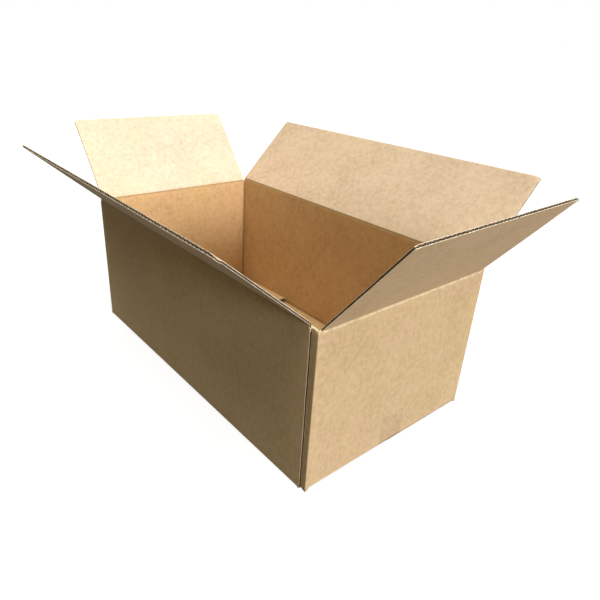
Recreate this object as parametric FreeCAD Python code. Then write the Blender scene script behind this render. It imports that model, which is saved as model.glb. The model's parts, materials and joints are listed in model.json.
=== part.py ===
# Open-topped shipping carton folded from one sheet of single-wall corrugated
# board, with four hinged top flaps, four closed bottom flaps and a strip of
# tape that holds the bottom shut. Millimetres, X along the length, Y across
# the width, Z up. The origin is the middle of the underside.
import FreeCAD, Part
import math
import os

V = FreeCAD.Vector

# Overall sizes, outside the board
LENGTH = 636.0
WIDTH = 350.0
HEIGHT = 255.0

# Corrugated board
BOARD = 3.8
LINER = 0.35
MEDIUM = 0.35
FLUTE_PITCH = 7.9
FLUTE_CREST = 0.6
OPEN_FLUTE_DEPTH = 60.0

# Folds and cuts
CORNER_RADIUS = 3.0
BOTTOM_RADIUS = 3.0
FOLD_CLEARANCE = 0.3
HINGE_TIP_GAP = 0.45
SCORE_BITE = 0.6
CRUSHED_BAND = 3.0
SLOT_INSET = 3.5
SIDE_CLEARANCE = 0.8
SLOT_RELIEF = 0.3
TOP_CENTRE_GAP = 9.0
BOTTOM_SEAM = 3.0
BOTTOM_FLAP_LIFT = 5.0
BOTTOM_FLUTE_DEPTH = 12.0

# Glued side joint at the front right corner
JOINT_GAP = 13.0
JOINT_FLAP_INSET = 1.5
GLUE_TAB = 40.0

# Tape under the bottom seam and up both ends
TAPE_WIDTH = 48.0
TAPE_THICKNESS = 0.1
TAPE_END_HEIGHT = 55.0

# How far each top flap leans outward from upright, in degrees
FRONT_LEAN_DEG = 49.5
RIGHT_LEAN_DEG = 38.4
BACK_LEAN_DEG = 44.7
LEFT_LEAN_DEG = 39.3

# Heights of the folds: the short flaps fold one board lower than the long ones
LONG_FOLD_Z = HEIGHT
SHORT_FOLD_Z = HEIGHT - BOARD - FOLD_CLEARANCE
SLOT_TOP_Z = SHORT_FOLD_Z - HINGE_TIP_GAP
LONG_BOTTOM_Z = TAPE_THICKNESS
SHORT_BOTTOM_Z = LONG_BOTTOM_Z + BOARD + FOLD_CLEARANCE
SLOT_BOTTOM_Z = SHORT_BOTTOM_Z + HINGE_TIP_GAP
WALL_BOTTOM_Z = SHORT_BOTTOM_Z + BOARD + 2 * SCORE_BITE

# The blank's edge is straight, so the lower fold makes the short flaps longer
LONG_FLAP = (WIDTH - TOP_CENTRE_GAP) / 2
SHORT_FLAP = LONG_FLAP + LONG_FOLD_Z - SHORT_FOLD_Z
LONG_BOTTOM_REACH = (WIDTH - BOTTOM_SEAM) / 2

# Where each panel's flaps start and end along the panel, seen from outside
SHORT_INSET = BOARD + SIDE_CLEARANCE
FRONT_SPAN = (-LENGTH / 2 + SLOT_INSET, LENGTH / 2 - JOINT_GAP - JOINT_FLAP_INSET)
BACK_SPAN = (-LENGTH / 2 + SLOT_INSET, LENGTH / 2 - SLOT_INSET)
RIGHT_SPAN = (-WIDTH / 2 + BOARD + SHORT_INSET, WIDTH / 2 - SHORT_INSET)
LEFT_SPAN = (-WIDTH / 2 + SHORT_INSET, WIDTH / 2 - SHORT_INSET)


def panel_placement(side, height):
    """Local X runs along the panel, local Y inward from its outer face."""
    turn, x, y = {
        "front": (0, 0, -WIDTH / 2),
        "right": (90, LENGTH / 2, 0),
        "back": (180, 0, WIDTH / 2),
        "left": (270, -LENGTH / 2, 0),
    }[side]
    return FreeCAD.Placement(V(x, y, height), FreeCAD.Rotation(V(0, 0, 1), turn))


def prism(points, span):
    """Extrude a profile of (inward, up) points along the panel."""
    corners = [V(span[0], inward, up) for inward, up in points]
    face = Part.Face(Part.makePolygon(corners + corners[:1]))
    return face.extrude(V(span[1] - span[0], 0, 0))


def placed(shape, placement):
    moved = shape.copy()
    moved.Placement = placement.multiply(moved.Placement)
    return moved


def flute_cell(middle, against_inner, start, depth):
    """One open channel between the liners, along the flutes."""
    pitch_half = FLUTE_PITCH / 2
    wide = pitch_half - FLUTE_CREST
    low, high = LINER, BOARD - LINER
    if against_inner:
        base, tip = high, low + MEDIUM
    else:
        base, tip = low, high - MEDIUM
    corners = [
        V(middle - wide, base, start),
        V(middle + wide, base, start),
        V(middle + FLUTE_CREST, tip, start),
        V(middle - FLUTE_CREST, tip, start),
    ]
    face = Part.Face(Part.makePolygon(corners + corners[:1]))
    return face.extrude(V(0, 0, depth))


def flute_channels(span, start, end):
    """Channels that show at a free edge, and the cut ones down both sides."""
    width = span[1] - span[0]
    count = int(width / FLUTE_PITCH)
    first = (span[0] + span[1] - count * FLUTE_PITCH) / 2
    open_depth = min(OPEN_FLUTE_DEPTH, end - start)
    cells = []
    for index in range(count + 1):
        middle = first + index * FLUTE_PITCH
        at_side = index in (0, count)
        depth = end - start if at_side else open_depth
        cells.append(flute_cell(middle, True, end - depth, depth))
        if index < count:
            middle += FLUTE_PITCH / 2
            cells.append(flute_cell(middle, False, end - open_depth, open_depth))
    return cells


def top_flap(side, span, reach, fold_z, lean_deg):
    """A flap with a mitred crease at its fold and open flutes at its edge."""
    crease = BOARD + FOLD_CLEARANCE
    plate = prism(
        [
            (0, HINGE_TIP_GAP),
            (LINER, HINGE_TIP_GAP),
            (BOARD, crease),
            (BOARD, reach),
            (0, reach),
        ],
        span,
    )
    channels = flute_channels(span, crease + CRUSHED_BAND, reach)
    flap = plate.cut(channels)
    tilt = FreeCAD.Placement(V(0, 0, 0), FreeCAD.Rotation(V(1, 0, 0), lean_deg))
    return placed(placed(flap, tilt), panel_placement(side, fold_z))


def arc(centre, start_angle, radius):
    """Quarter arc through the middle, counter-clockwise, in the XY plane."""
    def point(angle):
        turn = math.radians(angle)
        return V(centre[0] + radius * math.cos(turn), centre[1] + radius * math.sin(turn), 0)

    return [point(start_angle), point(start_angle + 45), point(start_angle + 90)]


def wall_outline():
    """Plan of the four walls: one strip that ends in the glue tab."""
    x_out, y_out = LENGTH / 2, WIDTH / 2
    radius = min(CORNER_RADIUS, SLOT_INSET, BOARD)
    cut_x = x_out - JOINT_GAP
    tab_x = x_out - GLUE_TAB
    tab_y = -y_out + BOARD
    notch = FLUTE_PITCH / 2 - FLUTE_CREST
    rounds = [
        arc((x_out - radius, tab_y + radius), 270, radius),
        arc((x_out - radius, y_out - radius), 0, radius),
        arc((-x_out + radius, y_out - radius), 90, radius),
        arc((-x_out + radius, -y_out + radius), 180, radius),
    ]
    straight = [
        V(cut_x, -y_out, 0),
        V(cut_x, -y_out + LINER, 0),
        V(cut_x - notch, -y_out + LINER + MEDIUM, 0),
        V(cut_x, tab_y - LINER, 0),
        V(cut_x, tab_y, 0),
    ]
    edges = [Part.LineSegment(a, b).toShape() for a, b in zip(straight, straight[1:])]
    last = straight[-1]
    for start, middle, end in rounds:
        edges.append(Part.LineSegment(last, start).toShape())
        edges.append(Part.Arc(start, middle, end).toShape())
        last = end
    edges.append(Part.LineSegment(last, straight[0]).toShape())
    outer = Part.Wire(edges)
    inner_points = [
        V(-x_out + BOARD, tab_y, 0),
        V(tab_x, tab_y, 0),
        V(tab_x, tab_y + BOARD, 0),
        V(x_out - BOARD, tab_y + BOARD, 0),
        V(x_out - BOARD, y_out - BOARD, 0),
        V(-x_out + BOARD, y_out - BOARD, 0),
    ]
    inner = Part.makePolygon(inner_points + inner_points[:1])
    return Part.Face(outer).cut(Part.Face(inner))


def wall_ring(low, high):
    ring = wall_outline()
    ring.translate(V(0, 0, low))
    return ring.Faces[0].extrude(V(0, 0, high - low))


def long_crown(side, span):
    """Top of a long panel, crushed to its outer liner where the flap folds."""
    drop = SLOT_TOP_Z - LONG_FOLD_Z
    profile = [
        (0, drop),
        (BOARD, drop),
        (BOARD, -BOARD - FOLD_CLEARANCE),
        (LINER, -HINGE_TIP_GAP),
        (0, -HINGE_TIP_GAP),
    ]
    return placed(prism(profile, span), panel_placement(side, LONG_FOLD_Z))


def short_score(side, span):
    """The crushed wedge that is missing from the top of a short panel."""
    crease = BOARD + FOLD_CLEARANCE
    profile = [
        (LINER, -HINGE_TIP_GAP),
        (BOARD, -crease),
        (crease, -crease),
        (crease, 0),
        (LINER, 0),
    ]
    wider = (span[0] - SLOT_RELIEF, span[1] + SLOT_RELIEF)
    return placed(prism(profile, wider), panel_placement(side, SHORT_FOLD_Z))


def bottom_flap(side, span, reach, low_z, lift):
    """Wall foot, rounded fold and closed bottom flap, in one section."""
    top = WALL_BOTTOM_Z - low_z
    radius = min(BOTTOM_RADIUS, BOARD)
    slope = lift / (reach - radius)
    length = math.hypot(1, slope)
    normal = (-slope / length * BOARD, BOARD / length)
    start = BOARD + SCORE_BITE

    def rise(inward):
        return (inward - radius) * slope

    def at(inward, up):
        return V(span[0], inward, up)

    half = radius * math.sqrt(0.5)
    upper_end = (reach + normal[0], rise(reach) + normal[1])
    upper_start = (start, rise(start) + normal[1] + normal[0] * slope)
    points = [
        at(radius, 0),
        at(reach, rise(reach)),
        at(*upper_end),
        at(*upper_start),
        at(BOARD - SCORE_BITE, BOARD - SCORE_BITE),
        at(BOARD, BOARD + SCORE_BITE),
        at(BOARD, top),
        at(0, top),
        at(0, radius),
    ]
    edges = [Part.LineSegment(a, b).toShape() for a, b in zip(points, points[1:])]
    middle = at(radius - half, radius - half)
    edges.append(Part.Arc(points[-1], middle, points[0]).toShape())
    section = Part.Face(Part.Wire(edges))
    solid = section.extrude(V(span[1] - span[0], 0, 0))
    if lift:
        solid = solid.cut(bottom_channels(span, reach - radius, lift, radius))
    return placed(solid, panel_placement(side, low_z))


def bottom_channels(span, run, lift, radius):
    """Open flutes at the free edge of a short bottom flap, which slopes up."""
    slant = math.degrees(math.atan2(lift, run))
    end = math.hypot(run, lift)
    sine, cosine = lift / end, run / end
    upper_start = V(0, radius - BOARD * sine, BOARD * cosine)
    lying = FreeCAD.Placement(upper_start, FreeCAD.Rotation(V(1, 0, 0), slant - 90))
    cells = flute_channels(span, end - BOTTOM_FLUTE_DEPTH, end)
    return [placed(cell, lying) for cell in cells]


def corner_posts():
    """Uncrushed wall corners between the slots, below the walls' straight part."""
    posts = wall_ring(SLOT_BOTTOM_Z, WALL_BOTTOM_Z)
    spans = {"front": FRONT_SPAN, "right": RIGHT_SPAN, "back": BACK_SPAN, "left": LEFT_SPAN}
    blocks = []
    for side, span in spans.items():
        block = prism([(-1, -1), (BOARD, -1), (BOARD, HEIGHT), (-1, HEIGHT)], span)
        blocks.append(placed(block, panel_placement(side, SLOT_BOTTOM_Z)))
    return posts.cut(blocks)


def carton_body():
    walls = wall_ring(WALL_BOTTOM_Z, SLOT_TOP_Z)
    pieces = [
        long_crown("front", FRONT_SPAN),
        long_crown("back", BACK_SPAN),
        bottom_flap("front", FRONT_SPAN, LONG_BOTTOM_REACH, LONG_BOTTOM_Z, 0),
        bottom_flap("back", BACK_SPAN, LONG_BOTTOM_REACH, LONG_BOTTOM_Z, 0),
        bottom_flap("right", RIGHT_SPAN, SHORT_FLAP, SHORT_BOTTOM_Z, BOTTOM_FLAP_LIFT),
        bottom_flap("left", LEFT_SPAN, SHORT_FLAP, SHORT_BOTTOM_Z, BOTTOM_FLAP_LIFT),
        corner_posts(),
    ]
    body = walls.fuse(pieces)
    body = body.cut([short_score("right", RIGHT_SPAN), short_score("left", LEFT_SPAN)])
    return body.removeSplitter()


def bottom_tape():
    """A strip along the bottom seam, over both edges and up the end panels."""
    x_out = LENGTH / 2
    radius = min(BOTTOM_RADIUS, BOARD)
    bend_z = SHORT_BOTTOM_Z + radius
    # Pulled tight, the strip leaves the long flap's end and just touches the bend
    climb = bend_z - LONG_BOTTOM_Z
    tangent = math.sqrt((SLOT_INSET - radius) ** 2 + climb**2 - radius**2)
    below_bend = SLOT_INSET * radius / (tangent + climb)
    half = [
        (x_out - SLOT_INSET, LONG_BOTTOM_Z),
        (x_out, bend_z - below_bend),
        (x_out, TAPE_END_HEIGHT),
    ]
    line = [(-x, z) for x, z in reversed(half)] + half
    lead_in = [(line[0][0], line[0][1] + 1)]
    run_out = [(line[-1][0], line[-1][1] + 1)]
    path = lead_in + line + run_out
    outer = []
    for before, here, after in zip(path, path[1:], path[2:]):
        first = V(here[0] - before[0], 0, here[1] - before[1]).normalize()
        second = V(after[0] - here[0], 0, after[1] - here[1]).normalize()
        if here in (line[0], line[-1]):
            first = second if here == line[0] else first
            second = first
        share = TAPE_THICKNESS / (1 + first.dot(second))
        outward = V(first.z + second.z, 0, -first.x - second.x) * share
        outer.append((here[0] + outward.x, here[1] + outward.z))
    corners = [V(x, -TAPE_WIDTH / 2, z) for x, z in line + outer[::-1]]
    face = Part.Face(Part.makePolygon(corners + corners[:1]))
    return face.extrude(V(0, TAPE_WIDTH, 0))


def export(shape, name):
    if len(shape.Solids) != 1 or not shape.isValid():
        raise ValueError(name + " is not one valid solid")
    shape.Solids[0].exportStep(os.path.join("parts", name + ".step"))


os.makedirs("parts", exist_ok=True)
export(carton_body(), "carton_body")
export(bottom_tape(), "bottom_tape")
export(top_flap("front", FRONT_SPAN, LONG_FLAP, LONG_FOLD_Z, FRONT_LEAN_DEG), "front_flap")
export(top_flap("back", BACK_SPAN, LONG_FLAP, LONG_FOLD_Z, BACK_LEAN_DEG), "back_flap")
export(top_flap("right", RIGHT_SPAN, SHORT_FLAP, SHORT_FOLD_Z, RIGHT_LEAN_DEG), "right_flap")
export(top_flap("left", LEFT_SPAN, SHORT_FLAP, SHORT_FOLD_Z, LEFT_LEAN_DEG), "left_flap")
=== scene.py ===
import json
import math

import bmesh
import bpy
from mathutils import Matrix, Vector


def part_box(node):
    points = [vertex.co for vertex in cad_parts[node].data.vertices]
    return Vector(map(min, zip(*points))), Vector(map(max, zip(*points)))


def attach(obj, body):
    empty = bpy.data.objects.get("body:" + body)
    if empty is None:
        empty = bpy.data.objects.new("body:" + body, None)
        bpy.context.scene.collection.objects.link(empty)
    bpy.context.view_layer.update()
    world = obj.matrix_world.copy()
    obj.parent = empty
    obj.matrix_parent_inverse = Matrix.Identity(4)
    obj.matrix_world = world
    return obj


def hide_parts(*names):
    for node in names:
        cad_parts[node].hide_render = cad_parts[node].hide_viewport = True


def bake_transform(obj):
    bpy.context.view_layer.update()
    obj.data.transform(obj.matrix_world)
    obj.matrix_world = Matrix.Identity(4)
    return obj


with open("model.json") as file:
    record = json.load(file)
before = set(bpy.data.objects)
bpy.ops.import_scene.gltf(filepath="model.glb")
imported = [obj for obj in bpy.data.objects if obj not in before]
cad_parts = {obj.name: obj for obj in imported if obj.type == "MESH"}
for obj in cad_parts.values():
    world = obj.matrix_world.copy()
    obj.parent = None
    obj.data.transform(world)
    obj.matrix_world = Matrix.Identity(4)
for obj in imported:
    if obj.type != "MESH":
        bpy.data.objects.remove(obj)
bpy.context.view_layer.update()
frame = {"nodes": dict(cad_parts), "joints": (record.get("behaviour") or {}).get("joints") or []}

bl_info = {
    "name": "Open corrugated carton",
    "version": (1, 0, 0),
    "blender": (4, 5, 0),
    "location": "3D View > Sidebar > Carton",
    "description": "Dresses an open corrugated carton: walls, bottom, fluted top flaps and tape",
    "category": "Add Mesh",
}

MM = 0.001
SAME = 0.1 * MM  # places closer than this are taken as one
OUTSIDE, INSIDE, CUT, FLUTING, FLUTE_EDGE = range(5)
FINISHES = "kraft outside", "kraft inside", "cut paper", "fluting paper", "cut fluting"

# The walls stop at these heights, where the boards with the folds take over. Only the
# corner posts between two flaps go on, to the second pair.
WALL_LOW, WALL_HIGH = 9.2 * MM, 245.1 * MM
POST_LOW, POST_HIGH = 0.8 * MM, 250.45 * MM
WALL_LEVELS = 30, 58, 85, 112, 140, 168, 196, 220, 238  # in mm
BULGE_LOW, BULGE_HIGH = 58 * MM, 238 * MM
SHORT_BULGE = 0.6  # how far a short wall stands out, as a share of a long one

# Plan of the walls
BESIDE_CORNER = 4.5 * MM  # the last column before a wall's upright fold
CORNER_CLEAR = 1.0 * MM  # from the inner fold of a corner to the next column
INNER_CORNER = 0.7 * MM  # radius of the upright folds inside
TAB_CORNER_BACK = 2 * MM  # how far the tab's fold lies behind the front panel's face
TAB_CLEAR = 0.1 * MM  # between the front panel and the tab glued behind it
GROOVE = 2.5 * MM  # how deep the cut edge is open between its liners
JOINT_TAPER = 2.4 * MM  # how much closer to the corner the cut edge is at its foot

# The long bottom flaps lie under the short ones, which rise a little to their free edges
LONG_BOTTOM_LOW, SHORT_BOTTOM_LOW = 0.1 * MM, 4.2 * MM
SHORT_BOTTOM_RISE = 5 * MM
BOTTOM_FOLD = 3 * MM  # outer radius of the bottom folds
BOTTOM_BITE = 0.3 * MM  # how far the score bites into the inner corner of the fold
BOTTOM_SEAM = 0.5 * MM

# Half of the band in which a top flap's board bends, and half of the wider one that the wall
# and the flap share across the fold
FOLD_BAND = 2.2 * MM
BLEND_BAND = 4.4 * MM
SIDE_CRUSH = 5 * MM  # the strip along a top flap's side edges that is pressed thinner
# The bead below an open fold, on the long and the short sides: its height as a share of the
# fold bead's size, how far up it is from the fold, and its width
LONG_BEAD, SHORT_BEAD = (0.6, -1.2 * MM, 0.9 * MM), (1.0, -2.0 * MM, 1.6 * MM)

# Columns of a board close to both of its ends, in mm
BOARD_END_COLUMNS = 1.5, 4, 8, 13, 20, 29
BOARD_COLUMN, LONG_WALL_COLUMN, SHORT_WALL_COLUMN = 16 * MM, 45 * MM, 42 * MM
FLUTE_INSET = 1.4 * MM  # how far the wavy sheet stays inside the ends of a board
FLUTE_CLEAR = 0.03 * MM  # between the wavy sheet and the liners
COLUMNS_PER_FLUTE = 8

# Rows of a top flap, in mm: on both sides of its fold, above them, over its middle as
# shares of its reach, and back from its free edge
FOLD_ROWS = 0.6, 1.2, 1.9, 2.6, 3.4, 4.4, 5.8
FLAP_ROWS = 9, 20
FLAP_MIDDLE_ROWS = 0.25, 0.4, 0.55, 0.68, 0.79
FLAP_END_ROWS = 0, 2, 5, 9, 15, 22
# This close to the fold, the wavy sheet has only the rows at these distances from it
FLUTE_FOLD, FLUTE_FOLD_ROWS = 5 * MM, (0.0, 2.6)

# How far each top flap is bowed, in mm, and what has happened to its free corners: which
# end of the span, pushed back, bent outward and size of the bruise in mm, share squeezed
FLAP_BOW = {"front": 0.0, "right": -0.6, "back": 1.2, "left": 0.9}
FLAP_BRUISES = {
    "front": ((1, 5.5, 1.2, 13, 0.5), (0, 1.0, 0.3, 12, 0.2)),
    "right": ((0, 1.0, 0.2, 9, 0.2), (1, 1.5, 0.5, 12, 0.3)),
    "back": ((0, 1.2, 0.4, 11, 0.2), (1, 0.8, 0.3, 9, 0.2)),
    "left": ((0, 1.0, 0.3, 10, 0.2), (1, 1.4, 0.4, 12, 0.2)),
}

# What a paper's written colour is multiplied by in its pulp and where it is worn, the worn colour
# also painting the highlight below an end flap's fold, and what its light is multiplied by in its
# reddish patches and, as painted shade, in folds, inner corners and along free edges
DARK_PULP, PALE_PULP, WORN_AND_HIGHLIT = (0.84, 0.80, 0.73), (1.10, 1.12, 1.16), (1.17, 1.24, 1.36)
REDDISH, CREASE_SHADE = (1.008, 0.982, 1.03, 1), (0.41, 0.355, 0.24, 1)
PAPER_ROUGHNESS, ROUGHNESS_SWING = 0.82, 0.06
OUTER_FLUTE_RELIEF, INNER_FLUTE_RELIEF = 0.02 * MM, 0.025 * MM

# The lamps: direction that the light comes from, strength, width in degrees, colour
LAMPS = {
    "side softbox": ((0.95, -0.075, 0.293), 3.22, 16, (0.99, 0.985, 0.962)),
    "top softbox": ((0.05, -0.045, 1.0), 2.76, 50, (0.985, 1.0, 0.915)),
    "front softbox": ((-0.1, -1.0, 0.4), 0.19, 60, (1.0, 0.9, 0.45)),
}
# What the floor and the studio give back to the carton, and how the camera sees them
FLOOR_BOUNCE, FLOOR_SEEN, FLOOR_GLOW = (0.03, 0.026, 0.016, 1), (0.28, 0.28, 0.28, 1), 0.84
STUDIO_BOUNCE, WHITE = (0.055, 0.05, 0.024, 1), (1, 1, 1, 1)
FLOOR_HALF, FLOOR_DROP = 15.0, 0.3 * MM

# The camera of the photograph, from a fit to the carton's corners: place in metres, angles
# in degrees, lens and film in mm, shift as a share of the frame
CAMERA_PLACE = (0.6935, -0.5506, 0.5521)
CAMERA_TURN, CAMERA_DOWN, CAMERA_ROLL = 49.523, 25.707, 3.022
CAMERA_LENS, CAMERA_FILM = 31.657, 36
CAMERA_SHIFT = (0.0281, -0.0082)


class Side:
    """One panel of the carton, its fold line and its top flap, read from the frame."""

    def __init__(self, name):
        joint = next(j for j in frame["joints"] if j["name"] == name + "_fold")
        low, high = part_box(name + "_flap")
        corners = [Vector((x, y, 0)) for x in (low.x, high.x) for y in (low.y, high.y)]
        self.name = name
        self.flap = joint["child"]
        self.pivot = Vector(joint["pos_m"])
        self.along = -Vector(joint["axis"])
        self.inward = Vector((0, 0, 1)).cross(self.along)
        self.lean = math.radians(joint["range_deg"][1] - 90)
        offsets = [corner.dot(self.along) for corner in corners]
        self.span = min(offsets), max(offsets)
        outward = max(-(corner - self.pivot).dot(self.inward) for corner in corners)
        self.reach = outward / math.sin(self.lean)
        self.long = abs(self.along.x) > 0.5

    def at(self, u, inward, z):
        """The place at u along the panel, so far inward of its outer face, at height z."""
        flat = Vector((self.pivot.x, self.pivot.y, 0))
        return flat + self.along * u + self.inward * inward + Vector((0, 0, z))

    def upward(self, lean):
        """Straight up, leaned outward by an angle."""
        return Vector((0, 0, math.cos(lean))) - self.inward * math.sin(lean)


SIDES = {name: Side(name) for name in ("front", "right", "back", "left")}
HALF_LENGTH = SIDES["right"].pivot.x
HALF_WIDTH = SIDES["back"].pivot.y


class CartonSizes(bpy.types.PropertyGroup):
    board: bpy.props.FloatProperty(
        name="Board", description="Thickness of the corrugated board",
        default=3.8 * MM, unit="LENGTH", precision=5)
    liner: bpy.props.FloatProperty(
        name="Liner", description="Thickness of each liner",
        default=0.48 * MM, unit="LENGTH", precision=5)
    medium: bpy.props.FloatProperty(
        name="Fluting sheet", description="Thickness of the wavy middle sheet",
        default=0.22 * MM, unit="LENGTH", precision=5)
    pitch: bpy.props.FloatProperty(
        name="Flute pitch", description="Distance from one flute to the next",
        default=7.9 * MM, unit="LENGTH", precision=5)
    corner: bpy.props.FloatProperty(
        name="Corner", description="Radius of the upright corner folds",
        default=1.7 * MM, unit="LENGTH", precision=5)
    joint_gap: bpy.props.FloatProperty(
        name="Joint gap", description="Strip of glue tab that shows beside the front panel",
        default=13 * MM, unit="LENGTH", precision=5)
    glue_tab: bpy.props.FloatProperty(
        name="Glue tab", description="Width of the glue tab behind the front panel",
        default=40 * MM, unit="LENGTH", precision=5)
    bead: bpy.props.FloatProperty(
        name="Fold bead", description="How far the liner bulges just below an end flap's fold",
        default=0.75 * MM, unit="LENGTH", precision=5)
    crush: bpy.props.FloatProperty(
        name="Score depth", description="How deep the score is pressed in at a fold",
        default=0.6 * MM, unit="LENGTH", precision=5)
    bulge: bpy.props.FloatProperty(
        name="Wall bulge", description="How far the middle of a long wall stands out",
        default=1.0 * MM, unit="LENGTH", precision=5)


class CartonColours(bpy.types.PropertyGroup):
    outside: bpy.props.FloatVectorProperty(
        name="Outer liner", description="Colour of the outer liner",
        subtype="COLOR_GAMMA", size=3, min=0, max=1, default=(0.815, 0.705, 0.545))
    # Darker than the outer liner of the walls: painted shade on the flaps' outer faces
    shaded_flap_outside: bpy.props.FloatVectorProperty(
        name="Outer liner on flaps", description="Colour of the outer liner on the top flaps",
        subtype="COLOR_GAMMA", size=3, min=0, max=1, default=(0.765, 0.658, 0.512))
    # One inner liner in two colours: this darker one is painted shade inside the carton, the paler
    # one on the open flaps a painted highlight
    inside: bpy.props.FloatVectorProperty(
        name="Inner liner", description="Colour of the inner liner inside the carton",
        subtype="COLOR_GAMMA", size=3, min=0, max=1, default=(0.802, 0.666, 0.482))
    faded: bpy.props.FloatVectorProperty(
        name="Highlit inner liner", description="Colour of the inner liner on the open flaps",
        subtype="COLOR_GAMMA", size=3, min=0, max=1, default=(0.86, 0.767, 0.667))
    fluting: bpy.props.FloatVectorProperty(
        name="Fluting", description="Colour of the wavy middle sheet",
        subtype="COLOR_GAMMA", size=3, min=0, max=1, default=(0.43, 0.335, 0.24))
    flute_edge: bpy.props.FloatVectorProperty(
        name="Cut fluting", description="Colour of the wavy sheet where it is cut",
        subtype="COLOR_GAMMA", size=3, min=0, max=1, default=(0.78, 0.675, 0.55))
    cut: bpy.props.FloatVectorProperty(
        name="Cut edge", description="Colour of a cut paper edge",
        subtype="COLOR_GAMMA", size=3, min=0, max=1, default=(0.86, 0.78, 0.665))
    tape: bpy.props.FloatVectorProperty(
        name="Tape", description="Tint of the clear tape",
        subtype="COLOR_GAMMA", size=3, min=0, max=1, default=(0.86, 0.82, 0.80))


def sizes():
    return bpy.context.scene.carton_sizes


def colours():
    return bpy.context.scene.carton_colours


def linear(colour):
    """A colour as it is written, in the values that a shader works with."""
    return tuple(c / 12.92 if c <= 0.04045 else ((c + 0.055) / 1.055) ** 2.4 for c in colour)


def shifted(colour, factor):
    return tuple(min(c * f, 1.0) for c, f in zip(colour, factor))


def smooth(value, start=0.0, end=1.0):
    """Eases from 0 at start to 1 at end."""
    t = min(max((value - start) / (end - start), 0.0), 1.0)
    return t * t * (3 - 2 * t)


def hump(value, middle, width):
    """1 at the middle, fading out on both sides of it."""
    return math.exp(-(((value - middle) / width) ** 2))


class Recipe:
    """The nodes of a material or of the world."""

    def __init__(self, owner, output="ShaderNodeOutputMaterial"):
        self.owner = owner
        owner.use_nodes = True
        self.tree = owner.node_tree
        self.tree.nodes.clear()
        self.output = self.add(output)

    def add(self, kind, inputs=None, **settings):
        """A node with these settings, its inputs set to a value or linked to a socket."""
        node = self.tree.nodes.new(kind)
        for name, value in settings.items():
            setattr(node, name, value)
        for key, value in (inputs or {}).items():
            socket = node.inputs[key]
            if isinstance(value, bpy.types.NodeSocket):
                self.tree.links.new(value, socket)
            else:
                socket.default_value = value
        return node

    def math(self, operation, first, second=0.0):
        return self.add("ShaderNodeMath", {0: first, 1: second}, operation=operation).outputs[0]

    def spread(self, value, low, high, to_low=0.0, to_high=1.0):
        """A value between low and high, spread over another range."""
        return self.add("ShaderNodeMapRange", {
            "Value": value, "From Min": low, "From Max": high,
            "To Min": to_low, "To Max": to_high}).outputs["Result"]

    def place(self):
        """Where a point is on its own piece."""
        if "place" not in self.tree.nodes:
            self.add("ShaderNodeTexCoord", name="place")
        return self.tree.nodes["place"].outputs["Object"]

    def noise(self, scale, detail=2.0, roughness=0.5, stretch=None):
        place = self.place()
        if stretch:
            place = self.add("ShaderNodeMapping", {
                "Vector": place, "Scale": stretch}).outputs["Vector"]
        return self.add("ShaderNodeTexNoise", {
            "Vector": place, "Scale": scale, "Detail": detail,
            "Roughness": roughness}).outputs["Fac"]

    def mark(self, name):
        """A value that the piece holds at each vertex."""
        return self.add("ShaderNodeAttribute", attribute_name=name).outputs["Fac"]

    def mix(self, factor, first, second, blend="MIX"):
        colour_sockets = {0: factor, 6: first, 7: second}
        node = self.add("ShaderNodeMix", colour_sockets, data_type="RGBA", blend_type=blend)
        return node.outputs[2]

    def times(self, shade, factor):
        return self.mix(1.0, shade, factor, "MULTIPLY")

    def bump(self, height, strength, distance, **under):
        heights = {"Height": height, "Strength": strength, "Distance": distance}
        return self.add("ShaderNodeBump", {**heights, **under}).outputs["Normal"]

    def seen_directly(self):
        """1 for what the camera, a reflection or glass sees, 0 for what lights the carton."""
        path = self.add("ShaderNodeLightPath").outputs
        seen = self.math("MAXIMUM", path["Is Camera Ray"], path["Is Glossy Ray"])
        return self.math("MAXIMUM", seen, path["Is Transmission Ray"])

    def finish(self, shader):
        self.tree.links.new(shader.outputs[0], self.output.inputs["Surface"])
        return self.owner


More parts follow.
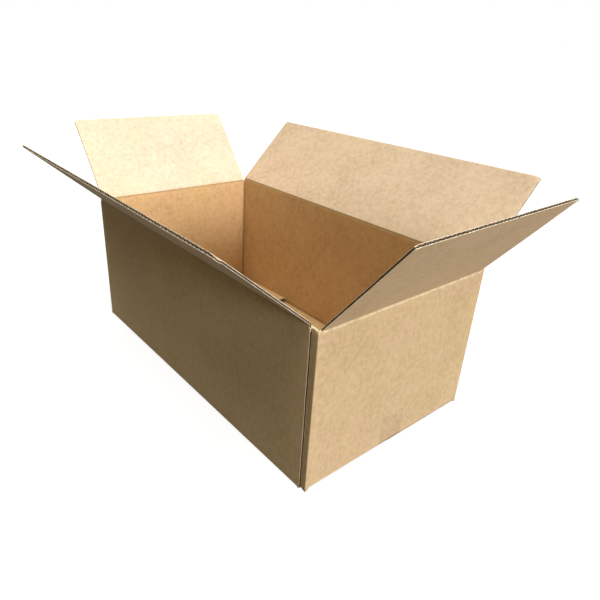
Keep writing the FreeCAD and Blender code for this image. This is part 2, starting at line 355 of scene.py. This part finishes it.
def paper(name, colour, flute_relief=0.0, faded=None):
    """Unbleached paper: cloudy pulp, fibres, dark flecks, flutes that show through, worn places,
    and the painted shade and highlights that the pieces mark on it.
    """
    recipe = Recipe(bpy.data.materials.new(name))
    base = linear(colour) + (1.0,)
    dark, pale, worn = (
        linear(shifted(colour, factor)) + (1.0,) for factor in (DARK_PULP, PALE_PULP, WORN_AND_HIGHLIT))
    clouds = recipe.noise(scale=13.0, detail=3.0, roughness=0.6)
    pulp = recipe.noise(scale=120.0, detail=4.0, roughness=0.62)
    along = recipe.noise(scale=520.0, detail=3.0, roughness=0.6, stretch=(0.4, 0.4, 1.0))
    across = recipe.noise(scale=610.0, detail=3.0, roughness=0.6, stretch=(1.0, 1.0, 0.4))
    fibres = recipe.math("MULTIPLY", recipe.math("ADD", along, across), 0.5)
    flecks = recipe.noise(scale=430.0, stretch=(0.55, 0.55, 1.0))
    patches = recipe.noise(scale=9.0, detail=4.0, roughness=0.65)
    flutes = recipe.math("SINE", recipe.math("MULTIPLY", recipe.mark("flute"), math.tau))

    # Each of these makes the paper darker below the middle of its range, paler above it
    tone = recipe.spread(clouds, 0.32, 0.68, -0.08, 0.08)
    for value, low, high, amount in (
            (pulp, 0.30, 0.70, 0.17), (fibres, 0.38, 0.62, 0.07), (flutes, -1.0, 1.0, 0.012)):
        tone = recipe.math("ADD", tone, recipe.spread(value, low, high, -amount, amount))
    shade = recipe.mix(recipe.spread(tone, -0.45, 0.0), dark, base)
    shade = recipe.mix(recipe.spread(tone, 0.0, 0.5), shade, pale)
    shade = recipe.mix(recipe.spread(flecks, 0.68, 0.76, 0.0, 0.3), shade, dark)
    shade = recipe.mix(recipe.spread(patches, 0.4, 0.62), shade, recipe.times(shade, REDDISH))
    # On the top flaps the paper takes a lit or shaded copy of its colour: painted shade on the
    # outer liner, a painted highlight on the inner liner
    if faded:
        ratio = [f / b for f, b in zip(linear(faded), base)] + [1.0]
        shade = recipe.mix(recipe.mark("faded"), shade, recipe.times(shade, ratio))

    # The painted shade in folds, corners and along free edges, and the worn places with the
    # painted highlight below an end flap's fold, are broken up by the pulp
    score = recipe.math("MULTIPLY", recipe.mark("score"), recipe.spread(pulp, 0.3, 0.6, 0.8, 1.0))
    shade = recipe.mix(score, shade, recipe.times(shade, CREASE_SHADE))
    wear = recipe.math("MULTIPLY", recipe.mark("wear"), recipe.spread(pulp, 0.42, 0.58, 0.35, 1.0))
    # The worn colour also paints the highlight along the bead below an end flap's fold
    shade = recipe.mix(recipe.math("MULTIPLY", wear, 0.9), shade, worn)

    height = recipe.math("ADD", recipe.math("MULTIPLY", fibres, 0.25), pulp)
    grain = recipe.bump(height, 0.3, 0.25 * MM)
    roughness = recipe.spread(pulp, 0.3, 0.7, PAPER_ROUGHNESS - ROUGHNESS_SWING,
                              PAPER_ROUGHNESS + ROUGHNESS_SWING)
    return recipe.finish(recipe.add("ShaderNodeBsdfPrincipled", {
        "Base Color": shade, "Normal": recipe.bump(flutes, 1.0, flute_relief, Normal=grain),
        "Roughness": roughness, "Specular IOR Level": 0.32}))


def board_finishes():
    """The papers of the board, made once and shared."""
    if FINISHES[OUTSIDE] not in bpy.data.materials:
        tint = colours()
        paper(FINISHES[OUTSIDE], tint.outside, OUTER_FLUTE_RELIEF, tint.shaded_flap_outside)
        paper(FINISHES[INSIDE], tint.inside, INNER_FLUTE_RELIEF, tint.faded)
        paper(FINISHES[CUT], tint.cut)
        paper(FINISHES[FLUTING], tint.fluting)
        paper(FINISHES[FLUTE_EDGE], tint.flute_edge)
    return [bpy.data.materials[name] for name in FINISHES]


def tape_finish():
    """Clear tape with slight ripples along it, and darker where the glue lies thicker."""
    recipe = Recipe(bpy.data.materials.new("clear tape"))
    base = linear(colours().tape) + (1.0,)
    ripple = recipe.noise(scale=60.0, stretch=(1.0, 0.3, 1.0))
    glue = recipe.noise(scale=25.0)
    return recipe.finish(recipe.add("ShaderNodeBsdfPrincipled", {
        "Base Color": recipe.mix(glue, base, shifted(base, (0.86, 0.86, 0.86, 1))),
        "Normal": recipe.bump(ripple, 0.4, 0.3 * MM), "Alpha": 0.06,
        "Roughness": recipe.spread(ripple, 0.3, 0.7, 0.16, 0.3)}))


def floor_finish():
    """A pale floor that keeps the carton's shadow and gives it little light back."""
    recipe = Recipe(bpy.data.materials.new("pale floor"))
    seen = recipe.seen_directly()
    speckle = recipe.spread(recipe.noise(scale=40.0), 0.3, 0.7, 0.97, 1.03)
    grey = recipe.add("ShaderNodeCombineColor", {0: speckle, 1: speckle, 2: speckle})
    tone = recipe.times(recipe.mix(seen, FLOOR_BOUNCE, FLOOR_SEEN), grey.outputs[0])
    own = recipe.add("ShaderNodeBsdfDiffuse", {"Color": tone}).outputs[0]
    strength = recipe.math("MULTIPLY", seen, FLOOR_GLOW)
    glow = recipe.add("ShaderNodeEmission", {"Color": WHITE, "Strength": strength}).outputs[0]
    return recipe.finish(recipe.add("ShaderNodeAddShader", {0: own, 1: glow}))


def studio_world():
    """White where it is seen, and a faint warm light on the carton."""
    recipe = Recipe(bpy.data.worlds.new("studio"), "ShaderNodeOutputWorld")
    light = recipe.mix(recipe.seen_directly(), STUDIO_BOUNCE, WHITE)
    return recipe.finish(recipe.add("ShaderNodeBackground", {"Color": light}))


def add_object(name, data):
    item = bpy.data.objects.new(name, data)
    bpy.context.scene.collection.objects.link(item)
    return item


def mesh_object(bm, name, finishes):
    mesh = bpy.data.meshes.new(name)
    bm.to_mesh(mesh)
    bm.free()
    for finish in finishes:
        mesh.materials.append(finish)
    return add_object(name, mesh)


def nowhere(vert):
    return 0.0


def mark_board(bm, flute, score, wear=nowhere, faded=nowhere):
    """Writes the values that the papers read at each vertex."""
    values = {"flute": flute, "score": score, "wear": wear, "faded": faded}
    layers = {name: bm.verts.layers.float.new(name) for name in values}
    for vert in bm.verts:
        for name, value in values.items():
            vert[layers[name]] = value(vert)


def board_piece(bm, name, replaced):
    """A piece of board, with the shading of its faces kept apart from its cut edges."""
    for edge in bm.edges:
        kinds = {face.material_index in (CUT, FLUTE_EDGE) for face in edge.link_faces}
        edge.smooth = len(kinds) < 2
    piece = mesh_object(bm, name, board_finishes())
    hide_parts(replaced)
    return piece


def stations(low, high, step, near=()):
    """Places from low to high, about a step apart, closer together at both ends."""
    close = [low + d for d in near] + [high - d for d in near]
    first, last = low + max(near, default=0), high - max(near, default=0)
    count = max(1, round((last - first) / step))
    middle = [first + (last - first) * i / count for i in range(count + 1)]
    return sorted(set(round(v, 7) for v in close + middle + [low, high]))


def new_grid(bm, columns, rows):
    """A grid, as a list of its vertices with the column and the row that each stands for."""
    last_column, last_row = len(columns) - 1, len(rows) - 1
    made = bmesh.ops.create_grid(bm, x_segments=last_column, y_segments=last_row, size=0.5)
    return [(vert, columns[round((vert.co.x + 0.5) * last_column)],
             rows[round((vert.co.y + 0.5) * last_row)]) for vert in made["verts"]]


def add_sheet(bm, columns, rows, place, thickness, finish, back_finish):
    """A thin sheet: a grid laid out by place(u, row), then given its thickness."""
    before = set(bm.faces)
    front = set()
    for vert, u, row in new_grid(bm, columns, rows):
        vert.co = place(u, row)
        front.add(vert)
    sheet = [face for face in bm.faces if face not in before]
    bm.normal_update()
    bmesh.ops.solidify(bm, geom=sheet, thickness=thickness)
    rim = FLUTE_EDGE if finish == FLUTING else CUT
    for face in bm.faces:
        if face in before:
            continue
        own = sum(vert in front for vert in face.verts)
        on_rim = 0 < own < len(face.verts)
        face.material_index = rim if on_rim else finish if own else back_finish
        face.smooth = not on_rim


class Board:
    """A strip of corrugated board along a panel. Its place(u, row) gives the outer and the
    inner face, each as a vector (inward, height, 0)."""

    def __init__(self, side, rows, place):
        self.side, self.rows, self.place = side, rows, place

    def between(self, u, row, share, offset=0.0):
        """A share of the way from the outer face to the inner one, and a little further."""
        outer, inner = self.place(u, row)
        across = inner - outer
        spot = outer + across * share + across.normalized() * offset
        return self.side.at(u, spot.x, spot.y)

    def wave(self, u, row):
        """The wavy sheet, which is flatter where the board is pressed."""
        size = sizes()
        outer, inner = self.place(u, row)
        room = (inner - outer).length
        swing = max(room / 2 - size.liner - size.medium / 2 - FLUTE_CLEAR, 0.0)
        turn = math.tau * (u - sum(self.side.span) / 2) / size.pitch
        return self.between(u, row, 0.5, swing * math.cos(turn) - size.medium / 2)

    def build(self, flute_rows):
        """The outer liner, the inner liner and the wavy sheet between them."""
        size = sizes()
        bm = bmesh.new()
        low, high = self.side.span
        columns = stations(low, high, BOARD_COLUMN, [d * MM for d in BOARD_END_COLUMNS])
        add_sheet(bm, columns, self.rows, lambda u, row: self.between(u, row, 0.0),
                  size.liner, OUTSIDE, FLUTING)
        add_sheet(bm, columns[::-1], self.rows, lambda u, row: self.between(u, row, 1.0),
                  size.liner, INSIDE, FLUTING)
        flutes = stations(low + FLUTE_INSET, high - FLUTE_INSET, size.pitch / COLUMNS_PER_FLUTE)
        add_sheet(bm, flutes, flute_rows, self.wave, size.medium, FLUTING, FLUTING)
        return bm


def bend(side, inward, up):
    """Leans a place near the fold outward, little by little across the crease."""
    turn = side.lean * smooth(up, -FOLD_BAND, FOLD_BAND)
    return Vector((
        inward * math.cos(turn) - up * math.sin(turn),
        inward * math.sin(turn) + up * math.cos(turn), 0.0))


def bruise(side, u, up):
    """How far a free corner is pushed back and bent, how hard it is squeezed, and how worn."""
    back = out = squeeze = worn = 0.0
    for end, pushed, bent, reach, squeezed in FLAP_BRUISES[side.name]:
        corner = side.span[end]
        distance = math.hypot(u - corner, up - side.reach) / (reach * MM)
        share = smooth(1 - distance)
        back += pushed * MM * share * (1 - 0.55 * abs(u - corner) / (reach * MM))
        out += bent * MM * share * share
        squeeze = max(squeeze, squeezed * share)
        worn = max(worn, share)
    return back, out, squeeze, worn


def flap_rows(side):
    """Rows of a top flap, from the wall over the fold to the free edge, and those of them
    that its wavy sheet has."""
    start, reach = WALL_HIGH - side.pivot.z, side.reach
    rows = {start, 0.0, *(d * MM for d in (*FOLD_ROWS, *FLAP_ROWS)), *(-d * MM for d in FOLD_ROWS)}
    rows |= {reach * share for share in FLAP_MIDDLE_ROWS}
    rows |= {reach - d * MM for d in FLAP_END_ROWS}
    rows = sorted(row for row in rows if row >= start)
    flute_rows = [row for row in rows if abs(row) > FLUTE_FOLD
                  or any(abs(abs(row) - d * MM) < SAME for d in FLUTE_FOLD_ROWS)]
    return rows, flute_rows


def top_flap_board(side):
    """The board of a top flap, with the top of the wall that it is folded from."""
    size = sizes()
    rows, flute_rows = flap_rows(side)
    bow = FLAP_BOW[side.name] * MM
    bead, bead_at, bead_width = LONG_BEAD if side.long else SHORT_BEAD
    middle, half = sum(side.span) / 2, (side.span[1] - side.span[0]) / 2

    def place(u, up):
        back, out, squeeze, _ = bruise(side, u, up)
        across = (u - middle) / half
        belly = bow * math.sin(math.pi * smooth(up, 6 * MM, side.reach)) * (1 - 0.5 * across ** 2)
        outer = belly - out - bead * size.bead * hump(up, bead_at, bead_width)
        inner = belly - out + size.board - size.crush * hump(up, 0.0, 1.3 * MM)
        side_edge = 1 - smooth(min(u - side.span[0], side.span[1] - u), 0.0, SIDE_CRUSH)
        pressed = (inner - outer) * max(squeeze, 0.4 * side_edge) * 0.35
        places = [bend(side, inward, up - back) for inward in (outer + pressed, inner - pressed)]
        for spot in places:
            spot.y += side.pivot.z
        return places

    return Board(side, rows, place).build(flute_rows)


def mark_top_flap(bm, side):
    """Flutes, worn places and the painted shade and highlights of a top flap and the strip of wall
    below its fold.
    """
    pitch = sizes().pitch
    flap_up = side.upward(side.lean)
    # The left flap, which faces the side softbox, gets the most painted highlight on its inner
    # liner and lighter painted shade in its fold
    fold_shade_inside, flap_light_strength = (0.75, 1.0) if side.name == "left" else (1.0, 0.8)
    fold_shade_outside = 0.15

    def height(vert):
        return (vert.co - side.pivot).dot(flap_up)

    def on_inner_liner(vert):
        from_pivot = vert.co - side.pivot
        return from_pivot.dot(side.inward) + from_pivot.z * math.tan(side.lean / 2) > 1.5 * MM

    # Painted shade along the fold: full on the inner liner, faint on the outer one
    def score(vert):
        strength = fold_shade_inside if on_inner_liner(vert) else fold_shade_outside
        return hump(height(vert), -0.8 * MM, 1.5 * MM) * strength

    def wear(vert):
        up, u = height(vert), (vert.co - side.pivot).dot(side.along)
        # Below the fold of an end flap, the outer liner gets a painted highlight along the bead
        if up < 0:
            highlit_fold = not side.long and not on_inner_liner(vert)
            return 1.8 * hump(up, -1.8 * MM, 1.0 * MM) if highlit_fold else 0.0
        edge = min(side.reach - up, u - side.span[0], side.span[1] - u)
        rim = 0.8 * (1 - smooth(edge, 0.0, 1.5 * MM))
        return max(rim, bruise(side, u, up)[3] if up > side.reach / 2 else 0.0)

    mark_board(
        bm, flute=lambda vert: vert.co.dot(side.along) / pitch, score=score, wear=wear,
        faded=lambda vert: flap_light_strength * smooth(height(vert), -0.8 * MM, 0.8 * MM))


def make_top_flap(side):
    bm = top_flap_board(side)
    mark_top_flap(bm, side)
    piece = board_piece(bm, side.name + "_top_flap", side.flap)
    across = side.upward(side.lean / 2) * BLEND_BAND
    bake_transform(piece)


def bottom_board(side):
    """The board of a bottom flap, from the foot of the wall round the fold to the free edge."""
    board = sizes().board
    low, rise, reach = SHORT_BOTTOM_LOW, SHORT_BOTTOM_RISE, side.reach
    if side.long:
        low, rise, reach = LONG_BOTTOM_LOW, 0.0, HALF_WIDTH - BOTTOM_SEAM / 2
    pairs = [((0.0, WALL_LOW), (board, WALL_LOW))]
    inner_fold = (0, 3), (0, 1), (0.5, 0.5), (1, 0), (3, 0)
    for step, (inward, up) in enumerate(inner_fold):
        turn = math.radians(90 / (len(inner_fold) - 1) * step)
        outer = BOTTOM_FOLD * (1 - math.cos(turn)), low + BOTTOM_FOLD * (1 - math.sin(turn))
        pairs.append((outer, (board + BOTTOM_BITE * inward, low + board + BOTTOM_BITE * up)))
    middle = [reach * share for share in (0.35, 0.5, 0.65, 0.8, 0.92)]
    for inward in (9 * MM, 30 * MM, *middle, reach - 1.2 * MM, reach):
        lift = low + rise * smooth(inward, 0.0, reach * 1.6) / smooth(1 / 1.6)
        pairs.append(((inward, lift), (inward, lift + board)))

    def place(u, row):
        return [Vector((*spot, 0.0)) for spot in pairs[row]]

    rows = list(range(len(pairs)))[::-1]
    return Board(side, rows, place).build(rows)


def make_bottom_flap(side):
    bm = bottom_board(side)
    pitch = sizes().pitch
    free_edge = HALF_WIDTH if side.long else side.reach

    def depth(vert):
        return (vert.co - side.pivot).dot(side.inward)

    mark_board(
        bm,
        flute=lambda vert: vert.co.dot(side.along) / pitch,
        # Painted shade in the inner corner of the fold and along the free edge
        score=lambda vert: max(0.5 * hump(depth(vert), 4 * MM, 1.5 * MM),
                               0.9 * hump(depth(vert), free_edge, 0.6 * MM)),
        wear=lambda vert: 0.4 * (1 - smooth(free_edge - depth(vert), 0.0, 3 * MM)))
    piece = board_piece(bm, side.name + "_bottom_flap", "carton_body")
    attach(piece, "carton")


def wall_path():
    """Plan of the outer faces as one strip, from the end of the glue tab to the front cut
    edge, and the corners on it."""
    size = sizes()
    x, y = HALF_LENGTH, HALF_WIDTH
    tab_y = -y + size.board + TAB_CLEAR
    corners = [(x, -y + TAB_CORNER_BACK), (x, y), (-x, y), (-x, -y)]

    def columns(name, step):
        return stations(*SIDES[name].span, step, [BESIDE_CORNER])

    path = [(x - size.glue_tab, tab_y), (x - size.joint_gap + JOINT_TAPER, tab_y), corners[0]]
    path += [(x, v) for v in columns("right", SHORT_WALL_COLUMN)] + [corners[1]]
    path += [(-v, y) for v in columns("back", LONG_WALL_COLUMN)] + [corners[2]]
    path += [(-x, -v) for v in columns("left", SHORT_WALL_COLUMN)] + [corners[3]]
    path += [(v, -y) for v in columns("front", LONG_WALL_COLUMN)] + [(x - size.joint_gap, -y)]
    return path, corners


def stand_walls(bm, path, corners):
    """Stands the strip up, each vertex knowing how far along the strip it is."""
    run = bm.verts.layers.float.new("run")
    travelled = [0.0]
    for start, end in zip(path, path[1:]):
        travelled.append(travelled[-1] + math.dist(start, end))
    levels = [POST_LOW, WALL_LOW, *(level * MM for level in WALL_LEVELS), WALL_HIGH, POST_HIGH]
    for vert, (spot, distance), level in new_grid(bm, list(zip(path, travelled)), levels):
        over_end_flap = level == POST_LOW and abs(spot[0]) == HALF_LENGTH and spot not in corners
        vert.co = Vector((*spot, SHORT_BOTTOM_LOW if over_end_flap else level))
        vert[run] = distance
    return run


def at_a_flap(face):
    """Is this face above or below the walls, where a flap's own board takes over?"""
    middle = face.calc_center_median()
    if WALL_LOW < middle.z < WALL_HIGH:
        return False
    return any(abs((middle - side.pivot).dot(side.inward)) < 0.5 * MM
               and side.span[0] < (middle - side.pivot).dot(side.along) < side.span[1]
               for side in SIDES.values())


def thicken_walls(bm, corners):
    """Gives the walls their thickness, and keeps the inner columns out of the next wall."""
    board = sizes().board
    outer = set(bm.verts)
    bm.normal_update()
    bmesh.ops.solidify(bm, geom=bm.faces[:], thickness=board)
    for face in bm.faces:
        own = sum(vert in outer for vert in face.verts)
        face.material_index = OUTSIDE if own == len(face.verts) else INSIDE if not own else CUT
    clear = board + CORNER_CLEAR
    for vert in [vert for vert in bm.verts if vert not in outer]:
        for corner in corners:
            depth = [abs(vert.co[axis] - corner[axis]) for axis in (0, 1)]
            for axis in (0, 1):
                on_wall = abs(depth[1 - axis] - board) < SAME
                if on_wall and depth[axis] < clear and abs(depth[axis] - board) > SAME:
                    vert.co[axis] = corner[axis] - math.copysign(clear, corner[axis])


def bulge_walls(bm):
    """Makes the walls stand out a little, as boards do between their folds."""
    bulge = sizes().bulge
    for vert in bm.verts:
        wall = min(SIDES.values(), key=lambda side: abs((vert.co - side.pivot).dot(side.inward)))
        long_wall = abs(abs(vert.co.y) - HALF_WIDTH) < 8 * MM
        share = abs(vert.co.x) / HALF_LENGTH if long_wall else abs(vert.co.y) / HALF_WIDTH
        across = math.cos(math.pi / 2 * min(share, 1.0)) * (1.0 if long_wall else SHORT_BULGE)
        up = math.sin(math.pi * smooth(vert.co.z, BULGE_LOW, BULGE_HIGH))
        vert.co -= wall.inward * (bulge * across * up)


def open_cut_edge(bm):
    """Opens the front panel's cut edge between its liners, and slants it."""
    size = sizes()
    cut_x = HALF_LENGTH - size.joint_gap
    edge = [f for f in bm.faces if f.material_index == CUT
            and all(abs(v.co.x - cut_x) < 0.01 * MM and v.co.y < 0 for v in f.verts)]
    bmesh.ops.inset_region(bm, faces=edge, thickness=size.liner, use_even_offset=True)
    deeper = bmesh.ops.extrude_face_region(bm, geom=edge)["geom"]
    sunk = {item for item in deeper if isinstance(item, bmesh.types.BMVert)}
    bmesh.ops.delete(bm, geom=edge, context="FACES")
    bmesh.ops.translate(bm, verts=list(sunk), vec=(-GROOVE, 0, 0))
    for face in {f for vert in sunk for f in vert.link_faces}:
        face.material_index = FLUTING
    behind_front = -HALF_WIDTH + 4.5 * MM
    for vert in bm.verts:
        if vert in sunk or vert.co.y < behind_front and abs(vert.co.x - cut_x) < SAME:
            vert.co.x += JOINT_TAPER * (1 - vert.co.z / POST_HIGH)


def at_corner(spot, corners, depth, slack=SAME):
    """Is this place as deep as that inside both walls of a corner?"""
    return any(abs(abs(spot.x - x) - depth) < slack and abs(abs(spot.y - y) - depth) < slack
               for x, y in corners)


def round_corners(bm, corners):
    """Rounds the upright folds outside and inside."""
    size = sizes()
    for depth, radius, segments in ((0.0, size.corner, 4), (size.board, INNER_CORNER, 2)):
        edges = [e for e in bm.edges if all(at_corner(v.co, corners, depth) for v in e.verts)
                 and abs(e.verts[0].co.z - e.verts[1].co.z) > 1 * MM]
        bmesh.ops.bevel(bm, geom=edges, offset=radius, affect="EDGES", segments=segments,
                        profile=0.5, material=-1, clamp_overlap=True)


def make_walls():
    size = sizes()
    path, corners = wall_path()
    bm = bmesh.new()
    run = stand_walls(bm, path, corners)
    bmesh.ops.delete(bm, geom=[face for face in bm.faces if at_a_flap(face)], context="FACES")
    thicken_walls(bm, corners)
    bulge_walls(bm)
    open_cut_edge(bm)
    round_corners(bm, corners)
    for face in bm.faces:
        face.smooth = face.material_index in (OUTSIDE, INSIDE)
    bmesh.ops.recalc_face_normals(bm, faces=bm.faces[:])

    # Painted shade in the upright inner corners: full on the rounded fold, less at the next column
    def score(vert):
        beyond = 0.05 * MM
        if at_corner(vert.co, corners, size.board, INNER_CORNER + beyond):
            return 1.0
        return 0.6 if at_corner(vert.co, corners, size.board, CORNER_CLEAR + beyond) else 0.0

    mark_board(bm, flute=lambda vert: vert[run] / size.pitch, score=score)
    piece = board_piece(bm, "carton_walls", "carton_body")
    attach(piece, "carton")


def make_floor():
    bm = bmesh.new()
    bmesh.ops.create_grid(bm, x_segments=4, y_segments=4, size=FLOOR_HALF)
    bmesh.ops.translate(bm, verts=bm.verts[:], vec=(0, 0, -FLOOR_DROP))
    floor = mesh_object(bm, "floor", [floor_finish()])


def hang_lamps():
    for name, (direction, strength, angle, colour) in LAMPS.items():
        data = bpy.data.lights.new(name, "SUN")
        data.energy, data.angle, data.color = strength, math.radians(angle), colour
        lamp = add_object(name, data)
        lamp.rotation_euler = Vector(direction).to_track_quat("Z", "Y").to_euler()


def photo_camera():
    """The camera of the photograph, which looks down at the near corner."""
    turn, down, roll = (math.radians(v) for v in (CAMERA_TURN, CAMERA_DOWN, CAMERA_ROLL))
    back = Vector((
        math.sin(turn) * math.cos(down), -math.cos(turn) * math.cos(down), math.sin(down)))
    right = Vector((math.cos(turn), math.sin(turn), 0))
    up = back.cross(right)
    tilted_right = right * math.cos(roll) + up * math.sin(roll)
    tilted_up = up * math.cos(roll) - right * math.sin(roll)
    view = Matrix((tilted_right, tilted_up, back)).transposed().to_4x4()
    data = bpy.data.cameras.new("camera")
    data.sensor_width = CAMERA_FILM
    data.lens = CAMERA_LENS
    data.shift_x, data.shift_y = CAMERA_SHIFT
    data.clip_start, data.clip_end = 0.01, 100
    camera = add_object("camera", data)
    camera.matrix_world = Matrix.Translation(CAMERA_PLACE) @ view
    return camera


class CARTON_OT_walls(bpy.types.Operator):
    """Fold the four walls and the glue tab from one strip of board"""
    bl_idname = "carton.walls"
    bl_label = "Walls"

    def execute(self, context):
        make_walls()
        return {"FINISHED"}


class CARTON_OT_bottom(bpy.types.Operator):
    """Close the four bottom flaps"""
    bl_idname = "carton.bottom"
    bl_label = "Bottom flaps"

    def execute(self, context):
        for side in SIDES.values():
            make_bottom_flap(side)
        return {"FINISHED"}


class CARTON_OT_top_flaps(bpy.types.Operator):
    """Open the four top flaps and crease them to the walls"""
    bl_idname = "carton.top_flaps"
    bl_label = "Top flaps"

    def execute(self, context):
        for side in SIDES.values():
            make_top_flap(side)
        return {"FINISHED"}


class CARTON_OT_tape(bpy.types.Operator):
    """Give the strip along the bottom seam its clear tape"""
    bl_idname = "carton.tape"
    bl_label = "Bottom tape"

    def execute(self, context):
        strip = frame["nodes"]["bottom_tape"]
        strip.data.materials.clear()
        strip.data.materials.append(tape_finish())
        return {"FINISHED"}


class CARTON_OT_stage(bpy.types.Operator):
    """Add the floor, the studio light and the camera"""
    bl_idname = "carton.stage"
    bl_label = "Stage"

    def execute(self, context):
        make_floor()
        hang_lamps()
        context.scene.world = studio_world()
        context.scene.camera = photo_camera()
        context.scene.view_settings.view_transform = "Standard"
        return {"FINISHED"}


STEPS = CARTON_OT_walls, CARTON_OT_bottom, CARTON_OT_top_flaps, CARTON_OT_tape, CARTON_OT_stage


class CARTON_PT_panel(bpy.types.Panel):
    """Sizes, colours and pieces of the carton"""
    bl_idname = "CARTON_PT_panel"
    bl_label = "Carton"
    bl_space_type = "VIEW_3D"
    bl_region_type = "UI"
    bl_category = "Carton"

    def draw(self, context):
        for group in (sizes(), colours()):
            box = self.layout.box()
            for name in group.bl_rna.properties.keys():
                if name not in ("rna_type", "name"):
                    box.prop(group, name)
        for step in STEPS:
            self.layout.operator(step.bl_idname)


CLASSES = (CartonSizes, CartonColours, *STEPS, CARTON_PT_panel)


def register():
    for item in CLASSES:
        bpy.utils.register_class(item)
    bpy.types.Scene.carton_sizes = bpy.props.PointerProperty(type=CartonSizes)
    bpy.types.Scene.carton_colours = bpy.props.PointerProperty(type=CartonColours)


def unregister():
    del bpy.types.Scene.carton_colours
    del bpy.types.Scene.carton_sizes
    for item in reversed(CLASSES):
        bpy.utils.unregister_class(item)


def main():
    register()
    bpy.ops.carton.walls()
    bpy.ops.carton.bottom()
    bpy.ops.carton.top_flaps()
    bpy.ops.carton.tape()
    bpy.ops.carton.stage()


if __name__ == "__main__":
    main()
